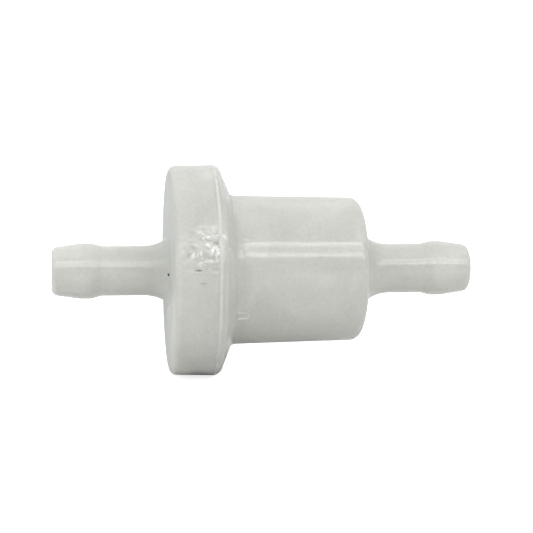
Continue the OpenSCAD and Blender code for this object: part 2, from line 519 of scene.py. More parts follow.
def bearings(count, *fine):
    """Bearings round the axis in radians, evenly spaced, with closer ones in some windows.

    Each window is (centre, half width, spacing) in degrees.
    """
    even = np.linspace(-180.0, 180.0, count, endpoint=False)
    extra = [np.arange(c - h, c + h, gap) for c, h, gap in fine]
    keep = np.ones(count, bool)
    for c, h, gap in fine:
        keep &= np.abs(even - c) > h + gap / 2
    degrees = np.concatenate([even[keep], *extra])
    degrees = np.unique(np.round(degrees, 4))
    close = np.concatenate([[True], np.diff(degrees) > 0.03])
    return np.radians(degrees[close])


def around_axis(x, r, phi):
    """Points at those x, radii and bearings in radians: (x, -r cos phi, r sin phi)."""
    x, r, phi = np.broadcast_arrays(x, r, phi)
    return np.stack([x, -r * np.cos(phi), r * np.sin(phi)], axis=-1)


def turned(outline, phi, relief):
    """Vertices of an outline carried round X, as an array of rows by bearings by 3.

    relief(x, r, phi) is added to the radius, unless it is None.
    """
    x, r, phi = np.broadcast_arrays(outline[:, :1], outline[:, 1:], phi)
    return around_axis(x, r if relief is None else r + relief(x, r, phi), phi)


def grid_faces(rows, columns, wrap_rows=True, wrap_columns=True):
    """Corner numbers of the quads of a grid, closed on itself where it wraps."""
    i = np.arange(rows if wrap_rows else rows - 1)[:, None]
    j = np.arange(columns if wrap_columns else columns - 1)[None, :]
    down, across = (i + 1) % rows, (j + 1) % columns
    quads = [i * columns + j, i * columns + across, down * columns + across, down * columns + j]
    return np.stack(quads, axis=-1).reshape(-1, 4)


def inside_out(vertices, faces):
    """Whether the faces point inwards, from the sign of the volume that they enclose."""
    a, b, c, d = (vertices[faces[:, k]] for k in range(4))
    fan = np.einsum("ij,ij->i", a, np.cross(b, c)) + np.einsum("ij,ij->i", a, np.cross(c, d))
    return fan.sum() < 0


def join_shells(name, shells):
    """One object out of closed shells of quads, each turned so that its faces point out.

    shells is a list of (vertices, faces).
    """
    points, quads, start = [], [], 0
    for vertices, faces in shells:
        vertices = vertices.reshape(-1, 3)
        faces = faces[:, ::-1] if inside_out(vertices, faces) else faces
        points.append(vertices)
        quads.append(faces + start)
        start += len(vertices)
    mesh = bpy.data.meshes.new(name)
    mesh.from_pydata(np.vstack(points).tolist(), [], np.vstack(quads).tolist())
    mesh.validate()
    joined = bpy.data.objects.new(name, mesh)
    bpy.context.scene.collection.objects.link(joined)
    return joined


def smooth(mesh, sharp):
    """Shade a mesh smooth, apart from edges sharper than that angle in degrees."""
    mesh.polygons.foreach_set("use_smooth", np.ones(len(mesh.polygons), bool))
    mesh.set_sharp_from_angle(angle=math.radians(sharp))


def make_piece(name, shells, material, stands_for, sharp=35.0):
    """One finished piece out of closed shells, riding on the filter's body."""
    piece = join_shells(name, shells)
    smooth(piece.data, sharp)
    piece.data.materials.append(material)
    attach(piece, BODY)
    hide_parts(stands_for)
    return piece


def turned_shell(outline, phi, relief=None):
    """A closed outline carried round X, as (vertices, faces)."""
    return turned(outline, phi, relief), grid_faces(len(outline), len(phi))


def threads(centre, thickness, outward, sides=4, closed=False):
    """Round threads along many paths at once, as (vertices, faces).

    centre is threads by points by 3. Each point gets a ring of that many sides,
    square to the path and upright along outward, and open threads get end caps.
    """
    count, points, _ = centre.shape
    if closed:
        ahead = np.roll(centre, -1, axis=1) - np.roll(centre, 1, axis=1)
    else:
        ahead = np.gradient(centre, axis=1)
    ahead /= np.linalg.norm(ahead, axis=2, keepdims=True)
    side = np.cross(ahead, outward)
    side /= np.linalg.norm(side, axis=2, keepdims=True)
    up = np.cross(side, ahead)
    angle = 2 * np.pi * (np.arange(sides) + 0.5) / sides
    ring = (
        up[:, :, None, :] * np.cos(angle)[None, None, :, None]
        + side[:, :, None, :] * np.sin(angle)[None, None, :, None]
    )
    vertices = centre[:, :, None, :] + ring * thickness / 2
    one = grid_faces(points, sides, wrap_rows=closed)
    if not closed:
        caps = np.array([np.arange(sides), np.arange(sides)[::-1] + (points - 1) * sides])
        one = np.vstack([one, caps])
    faces = one[None, :, :] + (np.arange(count) * points * sides)[:, None, None]
    return vertices.reshape(-1, 3), faces.reshape(-1, 4)


# ---------------------------------------------------------------- materials


def rgba(value):
    """A colour with full alpha."""
    return (*value, 1.0)


class Nodes:
    """Short calls for adding and joining nodes in one tree."""

    def __init__(self, tree):
        self.tree = tree

    def put(self, socket, value):
        """An input joined to another socket, or set to a plain value."""
        if isinstance(value, bpy.types.NodeSocket):
            self.tree.links.new(value, socket)
        else:
            socket.default_value = value

    def add(self, kind, inputs, **fields):
        """A node of that kind, with its fields and inputs set or joined."""
        node = self.tree.nodes.new(kind)
        for field, value in fields.items():
            setattr(node, field, value)
        for key, value in inputs.items():
            self.put(node.inputs[key], value)
        return node

    def group(self, name, inputs):
        """The outputs of a shared node group, which is built when it is first asked for."""
        tree = bpy.data.node_groups.get(name) or GROUPS[name](name)
        return self.add("ShaderNodeGroup", inputs, node_tree=tree).outputs

    def noise(self, vector, scale, detail=2.0, roughness=0.5, distortion=0.0):
        """The value of a noise pattern."""
        return self.add(
            "ShaderNodeTexNoise",
            {"Vector": vector, "Scale": scale, "Detail": detail, "Roughness": roughness,
             "Distortion": distortion},
        ).outputs["Fac"]

    def spread(self, value, low, high, to_low=0.0, to_high=1.0):
        """A value's range from low to high moved to another range, and clamped."""
        return self.add(
            "ShaderNodeMapRange",
            {"Value": value, "From Min": low, "From Max": high, "To Min": to_low,
             "To Max": to_high},
        ).outputs["Result"]

    def math(self, operation, a, b=0.0):
        """One arithmetic step on two values."""
        return self.add("ShaderNodeMath", {0: a, 1: b}, operation=operation).outputs[0]

    def weigh(self, a, share_a, b, share_b):
        """Two values added up, each of them times its share."""
        first = self.math("MULTIPLY", a, share_a)
        return self.math("ADD", first, self.math("MULTIPLY", b, share_b))

    def vector(self, operation, a, b):
        """One step on two vectors."""
        return self.add("ShaderNodeVectorMath", {0: a, 1: b}, operation=operation).outputs["Vector"]

    def size_of(self, vector):
        """The length of a vector."""
        return self.add("ShaderNodeVectorMath", {0: vector}, operation="LENGTH").outputs["Value"]

    def mix(self, share, a, b):
        """One colour blended into another."""
        node = self.add("ShaderNodeMix", {"Factor": share}, data_type="RGBA")
        colours = {socket.name: socket for socket in node.inputs if socket.type == "RGBA"}
        self.put(colours["A"], a)
        self.put(colours["B"], b)
        return next(socket for socket in node.outputs if socket.type == "RGBA")


def new_group(name, inputs, outputs):
    """An empty node group, as (group, its Nodes helper, the sockets of its input node).

    inputs and outputs give the kind of each socket under its name.
    """
    group = bpy.data.node_groups.new(name, "ShaderNodeTree")
    for way, sockets in (("INPUT", inputs), ("OUTPUT", outputs)):
        for label, kind in sockets.items():
            group.interface.new_socket(name=label, in_out=way, socket_type="NodeSocket" + kind)
    n = Nodes(group)
    return group, n, n.add("NodeGroupInput", {}).outputs


def cloud_group(name):
    """Clouds in milky plastic: one colour blended into another by two sizes of noise."""
    group, n, given = new_group(
        name,
        {"Vector": "Vector", "Thin": "Color", "Dense": "Color", "Size": "Float"},
        {"Color": "Color"},
    )
    vector, size = given["Vector"], given["Size"]
    broad = n.noise(vector, size, 3.0, 0.55, 0.6)
    fine = n.noise(vector, n.math("MULTIPLY", size, 15.0), 3.0, 0.7)
    mask = n.spread(n.weigh(broad, 0.55, fine, 0.45), 0.36, 0.64)
    n.add("NodeGroupOutput", {"Color": n.mix(mask, given["Thin"], given["Dense"])})
    return group


def grain_group(name):
    """Moulded skin: fine orange-peel height, and a roughness that varies in patches."""
    group, n, given = new_group(
        name,
        {"Vector": "Vector", "Roughness": "Float", "Variation": "Float", "Size": "Float"},
        {"Height": "Float", "Skin roughness": "Float"},
    )
    vector, size = given["Vector"], given["Size"]
    peel = n.noise(vector, size)
    pores = n.noise(vector, n.math("MULTIPLY", size, 4.0), 2.0, 0.6)
    patches = n.noise(vector, n.math("MULTIPLY", size, 0.35), 3.0, 0.6, 0.4)
    swing = n.math("MULTIPLY", n.math("SUBTRACT", patches, 0.5), given["Variation"])
    n.add(
        "NodeGroupOutput",
        {"Height": n.weigh(peel, 0.7, pores, 0.3),
         "Skin roughness": n.weigh(given["Roughness"], 1.0, swing, 2.0)},
    )
    return group


def handling_group(name):
    """Marks of handling: fine scratches along X and round it, and small scuffs, as a mask."""
    group, n, given = new_group(name, {"Vector": "Vector", "Amount": "Float"}, {"Mask": "Float"})
    vector = given["Vector"]

    def scratches(stretch, low):
        """Rare thin lines of a noise that is stretched by that much along each axis."""
        place = n.add("ShaderNodeMapping", {"Vector": vector, "Scale": stretch}).outputs["Vector"]
        return n.spread(n.noise(place, 1.0, 1.0, 0.4), low, low + 0.06)

    lengthwise = scratches((70.0, 2600.0, 2600.0), 0.70)
    crosswise = scratches((3200.0, 160.0, 160.0), 0.71)
    where = n.spread(n.noise(vector, 210.0), 0.48, 0.66)
    lines = n.math("MULTIPLY", n.math("MAXIMUM", lengthwise, crosswise), where)
    scuffs = n.spread(n.noise(vector, 520.0, 5.0, 0.75, 1.2), 0.62, 0.74)
    both = n.math("MAXIMUM", lines, n.math("MULTIPLY", scuffs, 0.5))
    n.add("NodeGroupOutput", {"Mask": n.math("MULTIPLY", both, given["Amount"])})
    return group


def speck_group(name):
    """One speck: a mask that is 1 within a radius of a point, with a ragged edge, used for dark specks
    and for painted shade in the nicks.
    """
    group, n, given = new_group(
        name,
        {"Vector": "Vector", "Place": "Vector", "Radius": "Float", "Length": "Float"},
        {"Mask": "Float"},
    )
    offset = n.vector("SUBTRACT", given["Vector"], given["Place"])
    shrink = n.add(
        "ShaderNodeCombineXYZ", {"X": n.math("DIVIDE", 1.0, given["Length"]), "Y": 1.0, "Z": 1.0}
    ).outputs["Vector"]
    share = n.math("DIVIDE", n.size_of(n.vector("MULTIPLY", offset, shrink)), given["Radius"])
    ragged = n.math("MULTIPLY", n.noise(given["Vector"], 9000.0), 0.7)
    mask = n.spread(n.math("ADD", share, ragged), 1.0, 1.6, 1.0, 0.0)
    n.add("NodeGroupOutput", {"Mask": mask})
    return group


def painted_glint_group(name):
    """Painted glints: a mask of noise spots inside a soft oval round one place, where sparkling
    highlights are painted into the colour.
    """
    group, n, given = new_group(
        name,
        {"Vector": "Vector", "Place": "Vector", "Reach": "Vector", "Size": "Float"},
        {"Mask": "Float"},
    )
    vector, size = given["Vector"], given["Size"]
    share = n.vector("DIVIDE", n.vector("SUBTRACT", vector, given["Place"]), given["Reach"])
    window = n.spread(n.size_of(share), 0.45, 1.1, 1.0, 0.0)
    flecks = n.noise(vector, size, 2.0, 0.6, 0.8)
    broad = n.noise(vector, n.math("MULTIPLY", size, 0.4))
    spots = n.spread(n.weigh(flecks, 0.65, broad, 0.35), 0.53, 0.64)
    n.add("NodeGroupOutput", {"Mask": n.math("MULTIPLY", spots, window)})
    return group


GROUPS = {
    "Milky clouds": cloud_group,
    "Moulded skin": grain_group,
    "Handling marks": handling_group,
    "Trapped speck": speck_group,
    "Stress whitening": painted_glint_group,
}


def new_material(name, roughness):
    """A material with a Principled shader, its Nodes helper and Object coordinates."""
    made = bpy.data.materials.new(name)
    made.use_nodes = True
    made.node_tree.nodes.clear()
    n = Nodes(made.node_tree)
    shader = n.add("ShaderNodeBsdfPrincipled", {"Roughness": roughness, "IOR": 1.5})
    n.add("ShaderNodeOutputMaterial", {"Surface": shader.outputs["BSDF"]})
    return made, n, shader, n.add("ShaderNodeTexCoord", {}).outputs["Object"]


def dress(n, shader, shade, rough, height, depth, milky, reach):
    """Joins colour, roughness and relief to a shader, and sets how light sinks into it.

    depth is the relief's height and reach how far the light spreads, both in millimetres.
    milky is the share of the light that sinks in.
    """
    relief = n.add("ShaderNodeBump", {"Height": height, "Distance": depth * MM, "Strength": 1.0})
    for socket, value in (
        ("Base Color", shade),
        ("Roughness", rough),
        ("Normal", relief.outputs["Normal"]),
        ("Subsurface Weight", milky),
        ("Subsurface Radius", (1.0, 1.0, 0.9)),
        ("Subsurface Scale", reach * MM),
    ):
        n.put(shader.inputs[socket], value)


def on_surface(x, radius, bearing):
    """The point at that x, radius and bearing in degrees."""
    return tuple(around_axis(x, radius, math.radians(bearing)))


def milky_nylon(name, finish):
    """Translucent nylon of the housing: clouds, glossy skin, scuffs and a few dark specks, with painted
    glints on the rim's patch, nipples painted paler for light through their thin walls, and painted
    shade along two nicks in the rim.
    """
    made, n, shader, place = new_material(name, finish.gloss)
    seam = node_span("inlet_cap")[1]
    face = seam - bpy.context.scene.filter_housing.cap_face
    shade = n.group(
        "Milky clouds",
        {"Vector": place, "Thin": rgba(finish.nylon), "Dense": rgba(finish.nylon_cloud),
         "Size": 170.0},
    )["Color"]
    skin = n.group(
        "Moulded skin",
        {"Vector": place, "Roughness": finish.gloss, "Variation": 0.08, "Size": 1100.0},
    )
    marks = n.group("Handling marks", {"Vector": place, "Amount": 0.35})["Mask"]
    # Mask of the painted glints: highlights that sparkle on the rim's uneven patch, painted near white
    white = n.group(
        "Stress whitening",
        {"Vector": place, "Place": on_surface(seam - 1.5 * MM, RIM_RADIUS, SCAR_BEARING),
         "Reach": (3.4 * MM, 3.0 * MM, 2.8 * MM), "Size": 1800.0},
    )["Mask"]
    along = n.add("ShaderNodeSeparateXYZ", {"Vector": place}).outputs["X"]
    # Painted light: the nipples are painted paler towards their ends, for light shining through their
    # thin walls
    thin = n.spread(n.math("ABSOLUTE", along), 12.2 * MM, 15.0 * MM, 0.0, 0.15)
    shade = n.mix(thin, shade, rgba(finish.nipple_painted_glow))
    # Painted highlight: the glints on the rim's patch are painted near white into the colour
    shade = n.mix(n.math("MULTIPLY", white, 0.95), shade, rgba(finish.white))
    # Each speck is (place, radius in millimetres, length over width, darkness); the second and third,
    # drawn out along the two nicks in the rim, are painted shade
    for point, radius, drawn_out, darkness in (
        (on_surface(face - 0.22 * MM, 3.95 * MM, VIEW_BEARING - 7.5), 0.19, 1.0, 1.0),
        (on_surface(seam - 2.7 * MM, 12.86 * MM, VIEW_BEARING - 0.2), 0.11, 3.8, 0.7),
        (on_surface(seam - 2.15 * MM, 12.9 * MM, VIEW_BEARING - 7.0), 0.10, 3.4, 0.22),
        (on_surface(face + 2.1 * MM, RIM_RADIUS, 118.0), 0.10, 1.0, 1.0),
        (on_surface(4.5 * MM, 9.1 * MM, 171.0), 0.12, 1.0, 1.0),
        (on_surface(8.2 * MM, 9.0 * MM, -96.0), 0.08, 1.0, 1.0),
    ):
        speck = n.group(
            "Trapped speck",
            {"Vector": place, "Place": point, "Radius": radius * MM, "Length": drawn_out},
        )["Mask"]
        shade = n.mix(n.math("MULTIPLY", speck, darkness), shade, rgba(finish.speck_and_nick_shade))
    # The disc's face is matt, and its edge is broken up by a very fine stipple
    from_face = n.math("ABSOLUTE", n.math("SUBTRACT", along, face + 0.25 * MM))
    stipple = n.math("MULTIPLY", n.math("SUBTRACT", n.noise(place, 21000.0, 0.0), 0.5), 5.0 * MM)
    matt = n.spread(n.math("ADD", from_face, stipple), 1.5 * MM, 2.2 * MM, 0.36, 0.0)
    rough = n.weigh(n.math("ADD", skin["Skin roughness"], matt), 1.0, marks, 0.25)
    height = n.weigh(skin["Height"], 1.0, marks, -0.5)
    dress(n, shader, shade, rough, height, 0.004, 0.75, 0.7)
    return made


def plain_plastic(name, tint, roughness, size, depth, dense, milky):
    """Opaque moulded plastic or rubber: a slightly uneven colour and a fine skin."""
    made, n, shader, place = new_material(name, roughness)
    shade = n.group(
        "Milky clouds",
        {"Vector": place, "Thin": rgba(tint), "Dense": rgba([c * dense for c in tint]),
         "Size": size * 0.3},
    )["Color"]
    skin = n.group(
        "Moulded skin", {"Vector": place, "Roughness": roughness, "Variation": 0.15, "Size": size}
    )
    dress(n, shader, shade, skin["Skin roughness"], skin["Height"], depth, milky, 0.5)
    return made


def material(name):
    """The finished material of that name, built when it is first asked for.

    A plain one is given by its colour, roughness, size of grain, depth of relief,
    brightness of its denser clouds, and how milky it is.
    """
    finish = bpy.context.scene.filter_finish
    plain = {
        "remelted_nylon": (finish.weld, 0.3, 1500.0, 0.006, 0.92, 0.0),
        "basket_nylon": (finish.basket, 0.42, 1300.0, 0.006, 0.9, 0.4),
        "gauze_thread": (finish.gauze, 0.38, 2600.0, 0.002, 0.9, 0.2),
        "seal_rubber": (finish.rubber, 0.6, 1600.0, 0.01, 0.6, 0.0),
    }
    done = bpy.data.materials.get(name)
    if done:
        return done
    if name == "milky_nylon":
        return milky_nylon(name, finish)
    return plain_plastic(name, *plain[name])


# ---------------------------------------------------------------- pieces


class BuildInletCap(bpy.types.Operator):
    """Build the inlet half: nipple, end disc and rim skirt"""

    bl_idname = "fuelfilter.inlet_cap"
    bl_label = "Inlet cap"

    def execute(self, context):
        s = context.scene.filter_housing
        seam = node_span("inlet_cap")[1]
        outer = s.skirt_bore + 0.8 * MM

        def relief(x, r, phi):
            """Ripples on the outside, and the patch and nicks on the rim."""
            on_rim = step(r, outer, outer + 0.3 * MM) * step(seam - x, 0.0, 0.5 * MM)
            outside = step(r, s.shank_radius - 0.4 * MM, s.shank_radius - 0.1 * MM)
            outside = outside * step(x, CAD_BOX[0][0], CAD_BOX[0][0] + 2 * MM)
            marks = scar(x, phi, RIM_RADIUS, seam) + nicks(x, phi, RIM_RADIUS, seam)
            clear = step(seam - x, 0.3 * MM, 1.3 * MM)
            return ripple(x, phi, s.sag) * outside * (r > outer) * clear + marks * on_rim

        phi = bearings(
            250,
            (SCAR_BEARING + 3.5, 14.0, 0.4),
            (VIEW_BEARING - 0.2, 1.7, 0.13),
            (VIEW_BEARING - 7.0, 1.5, 0.13),
        )
        shell = turned_shell(cap_outline(s), phi, relief)
        make_piece(
            "inlet_cap_shell", [shell], material("milky_nylon"), "inlet_cap"
        )
        return {"FINISHED"}


class BuildOutletBody(bpy.types.Operator):
    """Build the outlet half: spigot, flange, barrel, raised tab and nipple"""

    bl_idname = "fuelfilter.outlet_body"
    bl_label = "Outlet body"

    def execute(self, context):
        s = context.scene.filter_housing
        seam = node_span("inlet_cap")[1]
        wall_middle = s.barrel_radius - s.barrel_draft - s.barrel_wall / 2

        def relief(x, r, phi):
            """Ripples on the barrel's outside, and the raised tab."""
            on_barrel = (r > wall_middle) * step(x, seam + 0.3 * MM, seam + 0.9 * MM)
            marks = tab_relief(x, phi, s.barrel_radius) + scar(x, phi, RIM_RADIUS, seam)
            return (ripple(x, phi, s.sag) + marks) * on_barrel

        phi = bearings(210, (TAB_BEARING, 4.2, 0.17), (SCAR_BEARING, 15.0, 0.6))
        shell = turned_shell(body_outline(s), phi, relief)
        make_piece(
            "outlet_body_shell", [shell], material("milky_nylon"), "outlet_body"
        )
        return {"FINISHED"}


class BuildWeld(bpy.types.Operator):
    """Build the buried weld bead and the flash that it squeezed out"""

    bl_idname = "fuelfilter.weld"
    bl_label = "Weld"

    def execute(self, context):
        low, high, outer = node_span("weld_bead")
        bead = ring_outline(low, high, BEAD_BORE, outer)
        make_piece(
            "weld_bead_ring", [turned_shell(bead, bearings(240))], material("remelted_nylon"),
            "weld_bead",
        )
        low, high, outer = node_span("weld_flash")
        middle, reach = (low + high) / 2, (high - low) / 2
        rim = node_span("inlet_cap")[2]
        across = np.linspace(-1.0, 1.0, 11)
        lip = np.vstack([
            [(middle, rim - 0.055 * MM)],
            np.column_stack([middle + across * reach, rim + (0.003 - 0.034 * across ** 4) * MM]),
        ])

        def relief(x, r, phi):
            """Uneven height of the squeezed-out lip: waves and random beads round it."""
            draw = np.random.default_rng(5)
            height = np.zeros(phi.shape)
            for _ in range(70):
                where = draw.uniform(-math.pi, math.pi)
                width = draw.uniform(0.02, 0.09)
                away = np.angle(np.exp(1j * (phi - where)))
                height += draw.uniform(0.0, 0.008) * MM * np.exp(-(away / width) ** 2)
            return height * step(r, rim - 0.02 * MM, rim + 0.006 * MM)

        make_piece(
            "weld_flash_ring", [turned_shell(lip, bearings(420), relief)],
            material("remelted_nylon"), "weld_flash", sharp=60.0,
        )
        return {"FINISHED"}


def cut_box(low, high, half_width, reach, bearing):
    """A box from the axis outwards at one bearing, as (vertices, faces)."""
    phi = math.radians(bearing)
    out = np.array([0.0, -math.cos(phi), math.sin(phi)])
    side = np.array([0.0, math.sin(phi), math.cos(phi)])
    corner = np.array(
        [[x, out_by, side_by] for x in (low, high) for out_by in (0.5 * reach, 1.2 * reach)
         for side_by in (-half_width, half_width)]
    )
    vertices = (
        corner[:, :1] * np.array([1.0, 0.0, 0.0]) + corner[:, 1:2] * out + corner[:, 2:] * side
    )
    faces = np.array(
        [[0, 1, 3, 2], [4, 6, 7, 5], [0, 4, 5, 1], [2, 3, 7, 6], [0, 2, 6, 4], [1, 5, 7, 3]]
    )
    return vertices, faces


class BuildStrainer(bpy.types.Operator):
    """Build the moulded basket with its flange, windows and drilled end plate"""

    bl_idname = "fuelfilter.strainer"
    bl_label = "Strainer basket"

    def execute(self, context):
        s = context.scene.filter_strainer
        low, high, flange = node_span("strainer_frame")
        gauze_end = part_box("mesh_sleeve")[1][0]
        inner = s.basket_radius - s.wall
        plate = gauze_end + 0.02 * MM
        collar = -4.3 * MM
        flange_back = low + FLANGE_THICKNESS
        tiny = 0.35 * MM
        outline = corners(
            [
                (low, inner), (low, flange), (flange_back, flange),
                (flange_back, s.basket_radius), (high, s.basket_radius), (high, tiny),
                (plate, tiny), (plate, inner),
            ],
            40 * MM,
        )
        bay = (plate - collar) / (s.hoops + 1)
        half_rib = math.degrees(math.asin(s.rib_width / 2 / inner))
        half_window = inner * math.sin(math.radians(180 / s.ribs - half_rib))
        cutters = [
            cut_box(
                collar + bay * j + s.hoop_width / 2, collar + bay * (j + 1) - s.hoop_width / 2,
                half_window, s.basket_radius, 360 * (i + 0.5) / s.ribs,
            )
            for i in range(s.ribs) for j in range(s.hoops + 1)
        ]
        a = np.linspace(0, 2 * np.pi, 24, endpoint=False)
        for i in range(s.vents):
            phi_vent = 2 * np.pi * i / s.vents
            drill = []
            for x, radius in ((plate - 1 * MM, 1e-6), (plate - 1 * MM, s.vent_radius),
                              (high + 1 * MM, s.vent_radius), (high + 1 * MM, 1e-6)):
                y = -s.vent_pitch * math.cos(phi_vent) + radius * np.cos(a)
                z = s.vent_pitch * math.sin(phi_vent) + radius * np.sin(a)
                drill.append(np.column_stack([np.full(len(a), x), y, z]))
            cutters.append((np.stack(drill), grid_faces(4, len(a))))
        piece = make_piece(
            "strainer_basket", [turned_shell(outline, bearings(144))],
            material("basket_nylon"), "strainer_frame", sharp=30.0,
        )
        cut_away(piece, join_shells("basket_cutter", cutters))
        return {"FINISHED"}


def cut_away(piece, cutter):
    """Takes the cutter's volume out of the piece for good, and rounds the new edges."""
    cut = piece.modifiers.new("Windows", "BOOLEAN")
    cut.operation = "DIFFERENCE"
    cut.solver = "EXACT"
    cut.object = cutter
    edge = piece.modifiers.new("Edges", "BEVEL")
    edge.width = 0.06 * MM
    edge.segments = 2
    edge.limit_method = "ANGLE"
    edge.angle_limit = math.radians(40)
    graph = bpy.context.evaluated_depsgraph_get()
    done = bpy.data.meshes.new_from_object(piece.evaluated_get(graph))
    piece.modifiers.clear()
    old = piece.data
    piece.data = done
    bpy.data.meshes.remove(old)
    smooth(done, 30.0)
    bpy.data.objects.remove(cutter)


class BuildGauze(bpy.types.Operator):
    """Weave the gauze sleeve and its end disc, and lay the welded seam strip"""

    bl_idname = "fuelfilter.gauze"
    bl_label = "Gauze"

    def execute(self, context):
        s = context.scene.filter_strainer
        low, high, outer = node_span("mesh_sleeve")
        middle = outer - s.thread
        count = 2 * round(math.pi * middle / s.gauze_pitch)
        rows = 2 * round((high - low) / s.gauze_pitch / 2)
        margin = s.thread / 2 + 0.02 * MM
        swing = s.thread / 2 * 0.98
        # Threads along X: r = middle + swing cos(pi row + pi thread)
        per_gap = 3
        t = np.linspace(0, rows - 1, (rows - 1) * per_gap + 1)
        x = low + margin + (high - low - 2 * margin) * t / (rows - 1)
        thread = np.arange(count)[:, None]
        r = middle + swing * np.cos(np.pi * (t + thread))
        along = around_axis(x, r, 2 * np.pi * thread / count)
        # Threads round X: the same wave with the other sign
        u = np.arange(count * per_gap) / per_gap
        row = np.arange(rows)[:, None]
        x = low + margin + (high - low - 2 * margin) * row / (rows - 1)
        r = middle - swing * np.cos(np.pi * (row + u))
        around = around_axis(x, r, 2 * np.pi * u / count)
        from_axis = np.array([0.0, 1.0, 1.0])
        make_piece(
            "gauze_sleeve",
            [
                threads(along, s.thread, along * from_axis),
                threads(around, s.thread, around * from_axis, closed=True),
            ],
            material("gauze_thread"), "mesh_sleeve", sharp=180.0,
        )

        disc_low, disc_high, reach = node_span("mesh_end_disc")
        self.weave_disc((disc_low + disc_high) / 2, reach, s)
        self.lay_seam(outer - 2 * s.thread - 0.01 * MM)
        return {"FINISHED"}

    def weave_disc(self, x, reach, s):
        """Flat round weave: threads along Y and Z that pass over and under in turn."""
        half = int((reach - s.thread) / s.gauze_pitch)
        per_gap = 3
        swing = s.thread / 2 * 0.98
        shells = []
        for turn in (0, 1):
            for line in range(-half, half + 1):
                across = line * s.gauze_pitch
                run = math.sqrt(max((reach - s.thread) ** 2 - across ** 2, 0.0))
                steps = max(1, int(run / s.gauze_pitch))
                t = np.linspace(-steps, steps, 2 * steps * per_gap + 1)
                lift = x + swing * np.cos(np.pi * (t + line + turn))
                flat = t * s.gauze_pitch
                fixed = np.full(len(t), across)
                pair = (flat, fixed) if turn == 0 else (fixed, flat)
                path = np.column_stack([lift, *pair])
                shells.append(threads(path[None], s.thread, np.array([1.0, 0.0, 0.0])))
        rim = arc(x, reach - s.thread, s.thread * 0.55, 0, 360, 8)[:-1]
        shells.append(turned_shell(rim, bearings(96)))
        make_piece(
            "gauze_end", shells, material("gauze_thread"), "mesh_end_disc", sharp=180.0
        )

    def lay_seam(self, outer):
        """Welded strip inside the gauze: a thin curved block with rows of pressed dots."""
        low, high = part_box("mesh_seam")
        centre = math.atan2((low[2] + high[2]) / 2, -(low[1] + high[1]) / 2)
        x = np.linspace(low[0], high[0], 110)
        half = 0.7 * MM / outer
        phi = np.linspace(centre - half, centre + half, 15)
        grid_x, grid_phi = np.meshgrid(x, phi, indexing="ij")
        dots = np.cos(2 * np.pi * grid_x / (0.8 * MM)) * np.cos(
            np.pi * (grid_phi - centre) / half
        )
        inner = outer - 0.14 * MM + 0.03 * MM * np.clip(dots, 0, 1) ** 2
        top = around_axis(grid_x, outer, grid_phi)
        under = around_axis(grid_x, inner, grid_phi)
        make_piece(
            "gauze_seam", [closed_sheet(top, under)], material("basket_nylon"),
            "mesh_seam", sharp=40.0,
        )


def closed_sheet(top, under):
    """Two grids of the same size joined round their edges into one closed shell."""
    rows, columns, _ = top.shape
    size = rows * columns
    upper = grid_faces(rows, columns, wrap_rows=False, wrap_columns=False)
    lower = upper[:, ::-1] + size
    number = np.arange(size).reshape(rows, columns)
    border = np.concatenate(
        [number[0, :-1], number[:-1, -1], number[-1, :0:-1], number[:0:-1, 0]]
    )
    ahead = np.roll(border, -1)
    sides = np.column_stack([ahead, border, border + size, ahead + size])
    vertices = np.concatenate([top.reshape(-1, 3), under.reshape(-1, 3)])
    return vertices, np.vstack([upper, lower, sides])


class BuildSeal(bpy.types.Operator):
    """Build the flat rubber ring that seals the basket's flange"""

    bl_idname = "fuelfilter.seal"
    bl_label = "Flange seal"

    def execute(self, context):
        low, high, outer = node_span("flange_gasket")
        outline = ring_outline(low, high, SEAL_BORE, outer)
        make_piece(
            "seal_ring", [turned_shell(outline, bearings(180))], material("seal_rubber"),
            "flange_gasket",
        )
        return {"FINISHED"}


# ---------------------------------------------------------------- stage


def direction(azimuth, elevation):
    """Unit vector towards a bearing and height in degrees; azimuth 0 is -Y and 90 is +X."""
    a, e = math.radians(azimuth), math.radians(elevation)
    return np.array([math.sin(a) * math.cos(e), -math.cos(a) * math.cos(e), math.sin(e)])


def level_view(back):
    """Unit vectors to the right and upwards in a level view from the side of back."""
    right = np.cross([0.0, 0.0, 1.0], back)
    right /= np.linalg.norm(right)
    return right, np.cross(back, right)


def look_at(eye, target, roll=0.0):
    """Rotation that looks from eye to target with +Z up, turned by roll degrees."""
    back = np.asarray(eye) - np.asarray(target)
    back = back / np.linalg.norm(back)
    right, up = level_view(back)
    c, s = math.cos(math.radians(roll)), math.sin(math.radians(roll))
    right, up = right * c + up * s, up * c - right * s
    return Matrix(np.column_stack([right, up, back]).tolist()).to_quaternion()


def area_light(name, place, target, size, power, tint):
    """A rectangular light at a place, facing a target."""
    data = bpy.data.lights.new(name, "AREA")
    data.shape = "RECTANGLE"
    data.size, data.size_y = size
    data.energy = power
    data.color = tint
    light = bpy.data.objects.new(name, data)
    light.rotation_mode = "QUATERNION"
    light.location = place
    light.rotation_quaternion = look_at(place, target)
    bpy.context.scene.collection.objects.link(light)
    return light


